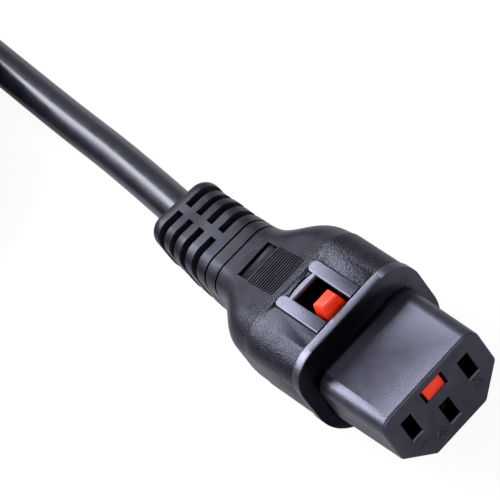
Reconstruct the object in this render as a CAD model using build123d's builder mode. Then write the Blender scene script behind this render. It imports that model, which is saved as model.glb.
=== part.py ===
from build123d import *
import os
from math import asin, cos, degrees, hypot, pi, radians, sin, tan

# A locking appliance connector on its cord, in millimetres.
# +X across, -Y the way the nose points, +Z up, the underside on Z = 0.
# Distances named "at" or "back" are measured from the nose's front face towards the cord,
# and heights named "low", "high" or "rise" from the nose's own centre line.

# Reference planes
BOOT_END = 74.6  # nose face to the end of the boot, along its centre line
BOOT_LEAN = 0.6  # how far the tilted end reaches past its centre
FACE_Y = -(BOOT_END + BOOT_LEAN) / 2
AXIS_Z = 9.0  # nose centre above the underside

# Nose
NOSE_HALF = 11.85  # half width where it meets the flange
NOSE_HIGH = 8.1
NOSE_LOW = -7.6
NOSE_CHAMFER = 5.6  # 45 degree lower corners
NOSE_TOP_RADIUS = 3.0
NOSE_CORNER_RADIUS = 1.2
NOSE_LENGTH = 18.0
NOSE_DRAFT = 0.8  # degrees
NOSE_EDGE = 0.5

# Pins and their slots
POLE_PITCH = 14.0  # line to neutral
POLE_RISE = 2.0  # line and neutral above the centre, earth as far below it
SLOT_WIDTH = 2.4
SLOT_HEIGHT = 5.0
SLOT_LEAD = 0.25
PIN_WIDTH = 2.0
PIN_HEIGHT = 4.0
CHAMBER_AT = 10.4
CHAMBER_WIDTH = 4.4
CHAMBER_HEIGHT = 6.2

# Flange and the core behind it
BODY_HALF = 14.4
BODY_HIGH = 13.0
BODY_TOP_RADIUS = 6.0
BODY_LOW_RADIUS = 9.5
RIM = 2.2
RIM_EDGE = 0.4
CORE_HALF = 10.6
CORE_HIGH = 8.0
CORE_LOW = -7.2
CORE_TOP_RADIUS = 2.5
CORE_LOW_RADIUS = 4.5
CORE_LENGTH = 13.8
COVER_THICKNESS = 2.4

# Window frame on top of the core
FRAME_PROUD = 0.1
FRAME_EDGE = 0.3
RAIL_WIDTH = 2.6
RAIL_LENGTH = 12.3
WINDOW_HALF = 2.8
WINDOW_AT = 20.8
WINDOW_LENGTH = 8.7
LIP_THICKNESS = 0.8
LIP_BULGE = 0.7
LIP_GAP = 0.45  # dark gap behind the lip, at its middle
MOULD_LINE = 0.1  # fine gap that shows round the frame

# Release slide
TONGUE_WIDTH = 3.95
TONGUE_THICKNESS = 2.7
TONGUE_RISE = 4.75
CHANNEL_WIDTH = 5.3
CHANNEL_HEIGHT = 3.0
SLIDE_WIDTH = 4.9
SLIDE_TRAVEL = 3.1
SLIDE_END_PLAY = 0.2
SLIDE_SET_BACK = 0.1
BUTTON_AT = 21.3
BUTTON_LENGTH = 3.6
BUTTON_SHOULDER = 10.6
BUTTON_HIGH = 15.0
BUTTON_TOP_WIDTH = 3.2
BUTTON_DROP = 1.3
BUTTON_EDGE = 0.4
SPIGOT_RADIUS = 0.75
SPIGOT_LENGTH = 0.7

# Locking plate, tilted forwards at rest and as far back when released
PLATE_AT = 6.3
PLATE_WIDTH = 6.4
PLATE_THICKNESS = 0.8
PLATE_FOOT = -5.9
PLATE_SHOULDER = 3.0
PLATE_TIP = 4.5
PLATE_TAB_WIDTH = 2.6
PLATE_HOLE_WIDTH = 2.7
PLATE_HOLE_HEIGHT = 5.0
BEAD_RADIUS = 0.6
BEAD_PLAY = 0.08
POCKET_WIDTH = 7.2
POCKET_FRONT = 3.6
POCKET_BACK = 9.0
NOTCH_LENGTH = 1.7
NOTCH_ROOF = 0.9

# Return spring
SPRING_WIRE = 0.35
SPRING_RADIUS = 1.25
SPRING_TURNS = 5
SPRING_SEAT_RADIUS = 1.6
SPRING_SEAT_DEPTH = 1.8

# Contacts, conductors and cores
LEAF = 0.4
CONTACT_HEIGHT = 4.8
CONTACT_HALF = 1.55
CONTACT_MOUTH = 1.5
CONTACT_THROAT = 1.15
CONTACT_BEND = 6.4  # where each leaf straightens again
CONTACT_LENGTH = 15.0
BARREL_RADIUS = 1.3
BARREL_LENGTH = 5.0
STRAND_RADIUS = 0.9
CORE_WIRE_RADIUS = 1.3
WIRE_PLAY = 0.05
LAY_RADIUS = 1.7  # cores from the cord's centre where they leave the jacket

# Grip and boot: half width, depth below and height above the centre line, upper and lower corner radii
GRIP_RISE = 1.25  # centre line of the grip above that of the nose
GRIP_STEP = 0.25  # grip's surface below the rim's
GRIP_STRAIGHT = 33.0  # where the grip begins to taper
NECK_AT = 57.0
NECK = (7.75, 7.50, 6.95, 4.2, 4.8)
BOOT_TIP = (7.25, 6.10, 5.95, 3.4, 4.0)
BOOT_EDGE = 1.0  # rounding of the end
BEND_FROM = 44.0
SWAY = 6.6  # degrees towards +X at the boot's end
DROOP = 5.5  # degrees down at the boot's end
# share of the way to the neck, then how much of the body's width, depth, height and corners is left
TAPER = [
    (0.0, 1.0, 1.0, 1.0, 1.0),
    (0.167, 0.965, 0.975, 0.792, 0.95),
    (0.333, 0.797, 0.860, 0.594, 0.80),
    (0.479, 0.430, 0.600, 0.427, 0.50),
    (0.604, 0.160, 0.330, 0.292, 0.23),
    (0.729, 0.040, 0.150, 0.177, 0.08),
    (0.854, 0.010, 0.050, 0.083, 0.02),
]
# share of the way from the neck to the rounded end, then how much of the neck's size is left
BOOT_TAPER = [(0.0, 1.0), (0.27, 0.75), (0.54, 0.48), (0.87, 0.15), (1.0, 0.0)]
GROOVE_AT = 58.8
GROOVE_PITCH = 3.95
GROOVE_COUNT = 4
GROOVE_WIDTH = 1.9
GROOVE_DEPTH = 2.2
BRIDGE_WIDTH = 1.7
LINE_AT = 51.3
LINE_PITCH = 3.6
LINE_COUNT = 2
LINE_WIDTH = 0.5
LINE_DEPTH = 0.8

# Thumb ribs behind the window
RIB_FROM = 34.8
RIB_PITCH = 0.74
RIB_COUNT = 12
RIB_GAP = 0.36
RIB_DEPTH = 0.55
RIB_LENGTH = 8.4
DIP_LENGTH = 3.4
DIP_WIDTH = 7.8
DIP_DEPTH = 0.5

# Inner mould round the crimped ends
MOULD_HALF = 9.4
MOULD_HIGH = 6.6
MOULD_LOW = -6.2
MOULD_END_HALF = 5.0
MOULD_LENGTH = 13.0

# Cord
CORD_DIAMETER = 7.2
CORD_STRAIGHT = 24.0  # run straight out of the boot
JACKET_PLAY = 0.03
COIL_INNER_TURN = 34.4
COIL_LIFT = 1.0
COIL_LAYERS = 3
COIL_CENTRE = (-34.6, 132.0)
COIL_LEAD = 26.0
COIL_EDGE = 3.2
COIL_SPARE = 0.15  # ring outside its turns
TIE_THICKNESS = 0.75
TIE_WIDTH = 12.0
TIE_PLAY = 0.05

# Plug at the far end of the cord
PLUG_ASIDE = 1.5  # how far the plug lies to one side of the coil's lead
PLUG_HALF = 13.6
PLUG_HIGH = 10.2
PLUG_CORNER = 3.4
PLUG_EDGE = 0.8
PLUG_SHROUD = 17.5
PLUG_BODY = 19.0
PLUG_RELIEF = 22.0
PLUG_RECESS = 16.0
PLUG_FIT = 0.5  # recess outside the nose's outline, all round
PLUG_PIN_LENGTH = 14.6
PLUG_PIN_ROOT = 6.0
PLUG_NECK_HALF = 7.4
PLUG_END_RADIUS = 5.4
PLUG_RING_PITCH = 3.6
PLUG_RING_COUNT = 4

# Places worked out from the sizes above
FLANGE_AT = NOSE_LENGTH
CORE_AT = FLANGE_AT + RIM
COVER_AT = CORE_AT + CORE_LENGTH
MOULD_AT = COVER_AT + COVER_THICKNESS
TAB_RISE = (TONGUE_RISE - TONGUE_THICKNESS / 2 + PLATE_TIP) / 2  # where the slide pushes the plate
SLIDE_END = COVER_AT - SLIDE_TRAVEL - SPIGOT_LENGTH - SLIDE_END_PLAY
PLATE_TILT = degrees(asin(SLIDE_TRAVEL / 2 / (TAB_RISE - PLATE_FOOT)))  # either side of upright
JACKET_AT = MOULD_AT + MOULD_LENGTH
CORD_RADIUS = CORD_DIAMETER / 2
POLES = {
    "line": (POLE_PITCH / 2, POLE_RISE),
    "neutral": (-POLE_PITCH / 2, POLE_RISE),
    "earth": (0, -POLE_RISE),
}

RIM_OUTLINE = (BODY_HALF, AXIS_Z + GRIP_RISE, BODY_HIGH - GRIP_RISE, BODY_TOP_RADIUS, BODY_LOW_RADIUS)
BODY = [size - GRIP_STEP for size in RIM_OUTLINE]
STATIONS = []
for share, wide, below, above, corners in TAPER:
    left = (wide, below, above, corners, corners)
    sizes = [neck + (body - neck) * part for neck, body, part in zip(NECK, BODY, left)]
    STATIONS.append((GRIP_STRAIGHT + (NECK_AT - GRIP_STRAIGHT) * share, *sizes))
for share, left in BOOT_TAPER:
    sizes = [tip + (neck - tip) * left for neck, tip in zip(NECK, BOOT_TIP)]
    STATIONS.append((NECK_AT + (BOOT_END - BOOT_EDGE - NECK_AT) * share, *sizes))
STATIONS.append((BOOT_END, *[tip - BOOT_EDGE for tip in BOOT_TIP]))

os.makedirs("parts", exist_ok=True)


def save(piece, label):
    """Names a finished piece and writes its file."""
    piece.label = label
    export_step(piece, f"parts/{label}.step")


def across(distance, rise=0.0):
    """Plane across the connector, facing the way the nose points."""
    return Plane(origin=(0, FACE_Y + distance, AXIS_Z + rise), x_dir=(1, 0, 0), z_dir=(0, -1, 0))


def level(rise):
    """Level plane at a height over the nose's centre line, with its Y zero at the nose's face."""
    return Plane(origin=(0, FACE_Y, AXIS_Z + rise))


bend_turn = radians(hypot(SWAY, DROOP))
bend_radius = (BOOT_END - BEND_FROM) / bend_turn
bend_lean = Vector(SWAY, 0, -DROOP).normalized()
bend_start = Vector(0, FACE_Y + BEND_FROM, AXIS_Z + GRIP_RISE)


def centre_line(distance):
    """Point and direction of the grip's centre line, straight at first and then gently bent."""
    if distance <= BEND_FROM:
        return bend_start - Vector(0, BEND_FROM - distance, 0), Vector(0, 1, 0)
    turn = (distance - BEND_FROM) / bend_radius
    point = bend_start + Vector(0, bend_radius * sin(turn), 0) + bend_lean * (bend_radius * (1 - cos(turn)))
    return point, Vector(0, cos(turn), 0) + bend_lean * sin(turn)


def station(distance):
    """Plane across the grip's centre line, facing the nose."""
    point, along = centre_line(distance)
    side = (Vector(1, 0, 0) - along * along.X).normalized()
    return Plane(origin=point, x_dir=side, z_dir=-along)


def section_at(distance):
    """Section sizes of the grip at any distance, between the listed stations."""
    for before, after in zip(STATIONS, STATIONS[1:]):
        if distance <= after[0]:
            share = (distance - before[0]) / (after[0] - before[0])
            return [a + (b - a) * share for a, b in zip(before[1:], after[1:])]
    return list(STATIONS[-1][1:])


def moulded_outline(half, below, above, top_radius, low_radius):
    """Outline with a flat top and bottom, straight sides and larger corners below than above."""
    with BuildSketch() as outline:
        with BuildLine():
            Line((-(half - top_radius), above), (half - top_radius, above))
            CenterArc((half - top_radius, above - top_radius), top_radius, 90, -90)
            Line((half, above - top_radius), (half, low_radius - below))
            CenterArc((half - low_radius, low_radius - below), low_radius, 0, -90)
            Line((half - low_radius, -below), (-(half - low_radius), -below))
            CenterArc((-(half - low_radius), low_radius - below), low_radius, -90, -90)
            Line((-half, low_radius - below), (-half, above - top_radius))
            CenterArc((-(half - top_radius), above - top_radius), top_radius, 180, -90)
        make_face()
    return outline.sketch


def inset_outline(sizes, inset):
    """Outline of a grip section, drawn in by the same amount all round."""
    return moulded_outline(*[size - inset for size in sizes])


def nose_outline(extra=0.0):
    """Six-sided outline of the nose, with rounded upper corners."""
    half, high, low = NOSE_HALF + extra, NOSE_HIGH + extra, NOSE_LOW - extra
    with BuildSketch() as outline:
        with BuildLine():
            Polyline(
                (-half, high),
                (half, high),
                (half, low + NOSE_CHAMFER),
                (half - NOSE_CHAMFER, low),
                (-half + NOSE_CHAMFER, low),
                (-half, low + NOSE_CHAMFER),
                close=True,
            )
        make_face()
        upper = outline.vertices().group_by(Axis.Y)[-1]
        fillet(upper, NOSE_TOP_RADIUS)
        lower = outline.vertices().filter_by(lambda v: v.Y < high - 2 * NOSE_TOP_RADIUS)
        fillet(lower, NOSE_CORNER_RADIUS)
    return outline.sketch


def body_outline():
    """Outline that the flange and the front of the grip share."""
    return moulded_outline(BODY_HALF, AXIS_Z, BODY_HIGH, BODY_TOP_RADIUS, BODY_LOW_RADIUS)


def core_outline():
    """Outline of the hard core inside the grip and of the cover that closes it."""
    return moulded_outline(CORE_HALF, -CORE_LOW, CORE_HIGH, CORE_TOP_RADIUS, CORE_LOW_RADIUS)


def frame_outline(extra=0.0, gap=0.0):
    """Plan of the two rails and the lip that joins them behind the window."""
    lip_at = WINDOW_AT + WINDOW_LENGTH
    rail_middle = WINDOW_HALF + RAIL_WIDTH / 2
    with BuildSketch() as plan:
        for side in (-1, 1):
            with Locations((side * rail_middle, CORE_AT + RAIL_LENGTH / 2)):
                rail = Rectangle(RAIL_WIDTH + 2 * extra, RAIL_LENGTH + 2 * extra)
            fillet(rail.vertices().group_by(Axis.Y)[-1], RAIL_WIDTH / 2 - 0.1)
        with BuildLine():
            lip_back = lip_at + LIP_THICKNESS + extra
            lip_bulge = LIP_BULGE + gap
            Line((-rail_middle, lip_at), (rail_middle, lip_at))
            Line((rail_middle, lip_at), (rail_middle, lip_back))
            ThreePointArc((rail_middle, lip_back), (0, lip_back + lip_bulge), (-rail_middle, lip_back))
            Line((-rail_middle, lip_back), (-rail_middle, lip_at))
        make_face()
    return plan.sketch


# Nose, flange, core and window frame, moulded as one
with BuildPart() as nose_housing:
    with BuildSketch(across(NOSE_LENGTH)):
        add(nose_outline())
    extrude(amount=NOSE_LENGTH, taper=NOSE_DRAFT)
    fillet(nose_housing.faces().sort_by(Axis.Y)[0].edges(), NOSE_EDGE)
    with BuildSketch(across(FLANGE_AT)):
        add(body_outline())
    flange = extrude(amount=-RIM)
    fillet(nose_housing.faces().filter_by(Axis.Y).sort_by(SortBy.AREA)[-1].outer_wire().edges(), RIM_EDGE)
    with BuildSketch(across(CORE_AT)):
        add(core_outline())
    extrude(amount=-CORE_LENGTH)
    with BuildSketch(level(CORE_HIGH - 1)):
        add(frame_outline())
    extrude(amount=BODY_HIGH + FRAME_PROUD - CORE_HIGH + 1)
    frame_top = nose_housing.faces().filter_by(Axis.Z).sort_by(Axis.Z)[-1]
    fillet(frame_top.outer_wire().edges().filter_by(lambda e: e.center().Y > FACE_Y + WINDOW_AT), FRAME_EDGE)
    # pin slots, with a small lead-in at the mouth
    with BuildSketch(across(0)):
        with Locations(*POLES.values()):
            Rectangle(SLOT_WIDTH, SLOT_HEIGHT)
    extrude(amount=-CHAMBER_AT, mode=Mode.SUBTRACT)
    chamfer(nose_housing.faces().sort_by(Axis.Y)[0].inner_wires().edges(), SLOT_LEAD)
    # contact chambers, open at the back of the core
    with BuildSketch(across(CHAMBER_AT)):
        with Locations(*POLES.values()):
            Rectangle(CHAMBER_WIDTH, CHAMBER_HEIGHT)
    extrude(amount=CHAMBER_AT - COVER_AT, mode=Mode.SUBTRACT)
    # channel for the tongue, bay for the slide, and the window over the bay
    with BuildSketch(across(0, TONGUE_RISE)):
        Rectangle(CHANNEL_WIDTH, CHANNEL_HEIGHT)
    extrude(amount=-CORE_AT, mode=Mode.SUBTRACT)
    with BuildSketch(across(CORE_AT, TONGUE_RISE)):
        Rectangle(2 * WINDOW_HALF, CHANNEL_HEIGHT)
    extrude(amount=-CORE_LENGTH, mode=Mode.SUBTRACT)
    with BuildSketch(level(TONGUE_RISE)):
        with Locations((0, WINDOW_AT + WINDOW_LENGTH / 2)):
            Rectangle(2 * WINDOW_HALF, WINDOW_LENGTH)
    extrude(amount=BODY_HIGH, mode=Mode.SUBTRACT)
    # pocket in which the locking plate swings, with a groove for its rounded foot
    with BuildSketch(level(PLATE_FOOT)):
        with Locations((0, (POCKET_FRONT + POCKET_BACK) / 2)):
            Rectangle(POCKET_WIDTH, POCKET_BACK - POCKET_FRONT)
    extrude(amount=TONGUE_RISE - PLATE_FOOT, mode=Mode.SUBTRACT)
    with BuildSketch(Plane.YZ.offset(-POCKET_WIDTH / 2)):
        with Locations((FACE_Y + PLATE_AT, AXIS_Z + PLATE_FOOT)):
            Circle(BEAD_RADIUS + BEAD_PLAY)
    extrude(amount=POCKET_WIDTH, mode=Mode.SUBTRACT)
save(nose_housing.part, "nose_housing")

# Cover behind the core, with the spring's seat and three ways for the crimped ends
with BuildPart() as rear_cover:
    with BuildSketch(across(COVER_AT)):
        add(core_outline())
    extrude(amount=-COVER_THICKNESS)
    with BuildSketch(across(COVER_AT)):
        with Locations(*POLES.values()):
            Circle(BARREL_RADIUS + 0.2)
    extrude(amount=-COVER_THICKNESS, mode=Mode.SUBTRACT)
    with BuildSketch(across(COVER_AT, TONGUE_RISE)):
        Circle(SPRING_SEAT_RADIUS)
        Circle(SPIGOT_RADIUS, mode=Mode.SUBTRACT)
    extrude(amount=-SPRING_SEAT_DEPTH, mode=Mode.SUBTRACT)
save(rear_cover.part, "rear_cover")


def core_route(pole, reach=0.0):
    """Centre line of one insulated core, from behind the cover to the end of the jacket."""
    x, rise = POLES[pole]
    start = Vector(x, FACE_Y + MOULD_AT, AXIS_Z + rise)
    along = centre_line(JACKET_AT)[1]
    spread = hypot(x, rise) / LAY_RADIUS
    end = station(JACKET_AT).from_local_coords((x / spread, rise / spread, 0))
    step = MOULD_LENGTH / 4
    first = start + Vector(0, step, 0)
    last = end - along * step
    with BuildLine() as route:
        FilletPolyline(start - Vector(0, reach, 0), first, last, end + along * reach, radius=step)
    return route.line


# Hard inner mould that binds the three cores behind the cover
with BuildPart() as inner_mould:
    with BuildSketch(across(MOULD_AT)):
        add(moulded_outline(MOULD_HALF, -MOULD_LOW, MOULD_HIGH, CORE_TOP_RADIUS, CORE_LOW_RADIUS))
    with BuildSketch(station(JACKET_AT)):
        add(moulded_outline(MOULD_END_HALF, MOULD_END_HALF, MOULD_END_HALF, CORE_TOP_RADIUS, CORE_TOP_RADIUS))
    loft()
    mould_blank = inner_mould.part
    for pole in POLES:
        route = core_route(pole, 1.0)
        with BuildSketch(Plane(origin=route @ 0, z_dir=route % 0)):
            Circle(CORE_WIRE_RADIUS + WIRE_PLAY)
        sweep(path=route, mode=Mode.SUBTRACT)
save(inner_mould.part, "inner_mould")

# Grip and boot, moulded round the core in one piece
with BuildPart() as grip_overmould:
    for distance, *sizes in STATIONS:
        with BuildSketch(station(distance)):
            add(moulded_outline(*sizes))
    loft()
    extrude(grip_overmould.faces().sort_by(Axis.Y)[0], amount=GRIP_STRAIGHT - CORE_AT)
    # flexing grooves in the boot, each crossed by a bridge above and below
    for index in range(GROOVE_COUNT):
        distance = GROOVE_AT + index * GROOVE_PITCH
        with BuildSketch(station(distance - GROOVE_WIDTH / 2)):
            Rectangle(2 * BODY_HALF, 2 * BODY_HALF)
            add(inset_outline(section_at(distance), GROOVE_DEPTH), mode=Mode.SUBTRACT)
            Rectangle(BRIDGE_WIDTH, 2 * BODY_HALF, mode=Mode.SUBTRACT)
        extrude(amount=-GROOVE_WIDTH, mode=Mode.SUBTRACT)
    # fine lines round the neck
    for index in range(LINE_COUNT):
        distance = LINE_AT + index * LINE_PITCH
        with BuildSketch(station(distance - LINE_WIDTH / 2)):
            Rectangle(2 * BODY_HALF, 2 * BODY_HALF)
            add(inset_outline(section_at(distance), LINE_DEPTH), mode=Mode.SUBTRACT)
        extrude(amount=-LINE_WIDTH, mode=Mode.SUBTRACT)
    # thumb ribs and the dip behind them, on the slope of the grip's back
    rib_end = RIB_FROM + RIB_PITCH * (RIB_COUNT - 1)
    dip_end = rib_end + RIB_PITCH + DIP_LENGTH
    slope_from = centre_line(RIB_FROM)[0] + Vector(0, 0, section_at(RIB_FROM)[2])
    slope_to = centre_line(dip_end)[0] + Vector(0, 0, section_at(dip_end)[2])
    slope = Vector(0, slope_to.Y - slope_from.Y, slope_to.Z - slope_from.Z).normalized()
    rib_plane = Plane(origin=(0, slope_from.Y, slope_from.Z), x_dir=(1, 0, 0), z_dir=Vector(1, 0, 0).cross(slope))
    with BuildSketch(rib_plane.offset(-RIB_DEPTH)):
        for index in range(RIB_COUNT):
            with Locations((0, index * RIB_PITCH)):
                Rectangle(RIB_LENGTH, RIB_GAP)
    extrude(amount=3 * RIB_DEPTH, mode=Mode.SUBTRACT)
    with BuildSketch(rib_plane.offset(-DIP_DEPTH)):
        with Locations((0, RIB_COUNT * RIB_PITCH + DIP_LENGTH / 2)):
            Rectangle(DIP_WIDTH, DIP_LENGTH)
    extrude(amount=3 * DIP_DEPTH, mode=Mode.SUBTRACT)
    # room for the core, its cover and its window frame
    with BuildSketch(across(CORE_AT)):
        add(core_outline())
    extrude(amount=CORE_AT - MOULD_AT, mode=Mode.SUBTRACT)
    with BuildSketch(level(CORE_HIGH - 1)):
        add(frame_outline(MOULD_LINE, LIP_GAP))
        with Locations((0, (CORE_AT + WINDOW_AT + WINDOW_LENGTH) / 2)):
            Rectangle(2 * WINDOW_HALF + RAIL_WIDTH, WINDOW_AT + WINDOW_LENGTH - CORE_AT + MOULD_LINE)
    extrude(amount=BODY_HIGH, mode=Mode.SUBTRACT)
    add(mould_blank, mode=Mode.SUBTRACT)
    jacket_plane = station(JACKET_AT)
    with BuildLine() as bore_line:
        ThreePointArc(
            centre_line(JACKET_AT)[0],
            centre_line((JACKET_AT + BOOT_END) / 2)[0],
            centre_line(BOOT_END + 2)[0],
        )
    with BuildSketch(jacket_plane):
        Circle(CORD_RADIUS + JACKET_PLAY)
    sweep(path=bore_line.line, mode=Mode.SUBTRACT)
save(grip_overmould.part, "grip_overmould")

# Jacket of the cord inside the boot
with BuildPart() as jacket_end:
    with BuildLine() as jacket_line:
        ThreePointArc(
            centre_line(JACKET_AT)[0],
            centre_line((JACKET_AT + BOOT_END) / 2)[0],
            centre_line(BOOT_END)[0],
        )
    with BuildSketch(station(JACKET_AT)):
        Circle(CORD_RADIUS)
    sweep()
save(jacket_end.part, "jacket_end")

# Red slide: tongue to the nose's face, plate under the window and the button standing in it
with BuildPart() as release_slide:
    with BuildSketch(across(SLIDE_SET_BACK, TONGUE_RISE)):
        Rectangle(TONGUE_WIDTH, TONGUE_THICKNESS)
    extrude(amount=SLIDE_SET_BACK - SLIDE_END)
    with BuildSketch(across(CORE_AT + 0.4, TONGUE_RISE)):
        Rectangle(SLIDE_WIDTH, TONGUE_THICKNESS)
    extrude(amount=CORE_AT + 0.4 - SLIDE_END)
    with BuildSketch(across(SLIDE_END, TONGUE_RISE)):
        Circle(SPIGOT_RADIUS)
    extrude(amount=-SPIGOT_LENGTH)
    button_middle = BUTTON_AT + BUTTON_LENGTH / 2
    with BuildSketch(level(TONGUE_RISE)):
        with Locations((0, button_middle)):
            Rectangle(SLIDE_WIDTH, BUTTON_LENGTH)
    extrude(amount=BUTTON_SHOULDER - TONGUE_RISE)
    with BuildSketch(level(BUTTON_SHOULDER)):
        with Locations((0, button_middle)):
            Rectangle(SLIDE_WIDTH, BUTTON_LENGTH)
    with BuildSketch(level(BUTTON_HIGH)):
        with Locations((0, BUTTON_AT + BUTTON_LENGTH / 2 - 0.1)):
            Rectangle(BUTTON_TOP_WIDTH, BUTTON_LENGTH - 0.3)
    loft()
    # the top falls away towards the cord
    with BuildSketch(Plane.YZ.offset(-SLIDE_WIDTH)):
        with BuildLine():
            Polyline(
                (FACE_Y + BUTTON_AT, AXIS_Z + BUTTON_HIGH),
                (FACE_Y + BUTTON_AT + BUTTON_LENGTH, AXIS_Z + BUTTON_HIGH - BUTTON_DROP),
                (FACE_Y + BUTTON_AT + BUTTON_LENGTH, AXIS_Z + BUTTON_HIGH + 1),
                (FACE_Y + BUTTON_AT, AXIS_Z + BUTTON_HIGH + 1),
                close=True,
            )
        make_face()
    extrude(amount=2 * SLIDE_WIDTH, mode=Mode.SUBTRACT)
    button_top = release_slide.faces().sort_by(Axis.Z)[-1]
    fillet(button_top.edges(), BUTTON_EDGE)
    # notch that takes the locking plate's tab
    with BuildSketch(level(TONGUE_RISE + TONGUE_THICKNESS / 2 - NOTCH_ROOF)):
        with Locations((0, PLATE_AT - SLIDE_TRAVEL / 2)):
            Rectangle(2 * TONGUE_WIDTH, NOTCH_LENGTH)
    extrude(amount=-TONGUE_THICKNESS, mode=Mode.SUBTRACT)
save(release_slide.part, "release_slide")

# Steel plate that bites on the earth pin, rocking on its rounded foot
plate_plane = Plane(
    origin=(0, FACE_Y + PLATE_AT, AXIS_Z + PLATE_FOOT),
    x_dir=(1, 0, 0),
    z_dir=(0, -cos(radians(PLATE_TILT)), -sin(radians(PLATE_TILT))),
)
with BuildPart() as locking_plate:
    with BuildSketch(plate_plane.offset(PLATE_THICKNESS / 2)):
        with BuildLine():
            shoulder = PLATE_SHOULDER - PLATE_FOOT
            tip = PLATE_TIP - PLATE_FOOT
            Polyline(
                (-PLATE_WIDTH / 2, 0),
                (-PLATE_WIDTH / 2, shoulder),
                (-PLATE_TAB_WIDTH / 2, shoulder),
                (-PLATE_TAB_WIDTH / 2, tip),
                (PLATE_TAB_WIDTH / 2, tip),
                (PLATE_TAB_WIDTH / 2, shoulder),
                (PLATE_WIDTH / 2, shoulder),
                (PLATE_WIDTH / 2, 0),
                close=True,
            )
        make_face()
        with Locations((0, -POLE_RISE - PLATE_FOOT)):
            Rectangle(PLATE_HOLE_WIDTH, PLATE_HOLE_HEIGHT, mode=Mode.SUBTRACT)
    extrude(amount=-PLATE_THICKNESS)
    with BuildSketch(Plane.YZ.offset(-PLATE_WIDTH / 2)):
        with Locations((FACE_Y + PLATE_AT, AXIS_Z + PLATE_FOOT)):
            Circle(BEAD_RADIUS)
    extrude(amount=PLATE_WIDTH)
save(locking_plate.part, "locking_plate")

# Coil spring between the slide and the cover
spring_length = COVER_AT + SPRING_SEAT_DEPTH - SLIDE_END - SPRING_WIRE
with BuildPart() as return_spring:
    spring_start = (0, FACE_Y + SLIDE_END + SPRING_WIRE / 2, AXIS_Z + TONGUE_RISE)
    with BuildLine():
        coil = Helix(
            spring_length / SPRING_TURNS, spring_length, SPRING_RADIUS, center=spring_start, direction=(0, 1, 0)
        )
    with BuildSketch(Plane(origin=coil @ 0, z_dir=coil % 0)):
        Circle(SPRING_WIRE / 2)
    sweep()
save(return_spring.part, "return_spring")

# Female contacts with their bared conductors and insulated cores
for pole, (x, rise) in POLES.items():
    with BuildPart() as contact:
        leaf_plane = Plane(origin=(x, FACE_Y + CHAMBER_AT, AXIS_Z + rise - CONTACT_HEIGHT / 2))
        with BuildSketch(leaf_plane):
            for side in (-1, 1):
                with BuildLine():
                    Polyline(
                        (side * CONTACT_MOUTH, 0.4),
                        (side * CONTACT_THROAT, 2.4),
                        (side * CONTACT_HALF, CONTACT_BEND),
                        (side * CONTACT_HALF, CONTACT_LENGTH),
                    )
                    offset(amount=LEAF / 2, kind=Kind.INTERSECTION)
                make_face()
        extrude(amount=CONTACT_HEIGHT)
        box_at = CHAMBER_AT + CONTACT_LENGTH / 2
        with BuildSketch(across(box_at, rise)):
            with Locations((x, 0)):
                Rectangle(2 * CONTACT_HALF + LEAF, CONTACT_HEIGHT + 2 * LEAF)
                Rectangle(2 * CONTACT_HALF - LEAF, CONTACT_HEIGHT, mode=Mode.SUBTRACT)
        extrude(amount=-CONTACT_LENGTH / 2)
        barrel_at = COVER_AT + COVER_THICKNESS - 1 - BARREL_LENGTH
        with BuildSketch(across(CHAMBER_AT + CONTACT_LENGTH - LEAF, rise)):
            with Locations((x, 0)):
                Rectangle(2 * CONTACT_HALF + LEAF, CONTACT_HEIGHT + 2 * LEAF)
        extrude(amount=-LEAF)
        with BuildSketch(across(CHAMBER_AT + CONTACT_LENGTH, rise)):
            with Locations((x, 0)):
                Circle(BARREL_RADIUS)
        extrude(amount=CHAMBER_AT + CONTACT_LENGTH - barrel_at - BARREL_LENGTH)
        with BuildSketch(across(barrel_at, rise)):
            with Locations((x, 0)):
                Circle(STRAND_RADIUS)
        extrude(amount=-BARREL_LENGTH, mode=Mode.SUBTRACT)
    save(contact.part, f"{pole}_contact")

    with BuildPart() as strands:
        with BuildSketch(across(barrel_at, rise)):
            with Locations((x, 0)):
                Circle(STRAND_RADIUS)
        extrude(amount=barrel_at - MOULD_AT)
    save(strands.part, f"{pole}_strands")

    with BuildPart() as core:
        route = core_route(pole)
        with BuildSketch(Plane(origin=route @ 0, z_dir=route % 0)):
            Circle(CORE_WIRE_RADIUS)
        sweep(path=route)
    save(core.part, f"{pole}_core")

# Cord from the boot to the coil, and from the coil to the plug
exit_point, exit_along = centre_line(BOOT_END)
coil_x, coil_y = COIL_CENTRE
COIL_OUTER_TURN = COIL_INNER_TURN + CORD_DIAMETER
coil_floor = COIL_LIFT + CORD_RADIUS
cord_points = [
    exit_point,
    exit_point + exit_along * CORD_STRAIGHT,
    Vector(5.5, 80.0, 4.85),
    Vector(6.3, 91.5, 4.3),
    Vector(coil_x + COIL_OUTER_TURN, 99.5, coil_floor),
    Vector(coil_x + COIL_OUTER_TURN, coil_y - COIL_LEAD, coil_floor),
]
plug_z = PLUG_HIGH
tail_x = coil_x - COIL_OUTER_TURN
tail_points = [
    Vector(tail_x, coil_y - COIL_LEAD, coil_floor + CORD_DIAMETER),
    Vector(tail_x, 97.4, coil_floor + CORD_DIAMETER),
    Vector(tail_x + PLUG_ASIDE, 88.7, plug_z),
    Vector(tail_x + PLUG_ASIDE, 80.0, plug_z),
]


def bend_radii(points):
    """Largest even arc that the two runs at each corner leave room for."""
    radii = []
    for before, corner, after in zip(points, points[1:], points[2:]):
        run_in, run_out = corner - before, after - corner
        turn = radians(run_in.get_angle(run_out))
        radii.append(0.45 * min(run_in.length, run_out.length) / tan(turn / 2))
    return radii


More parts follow.
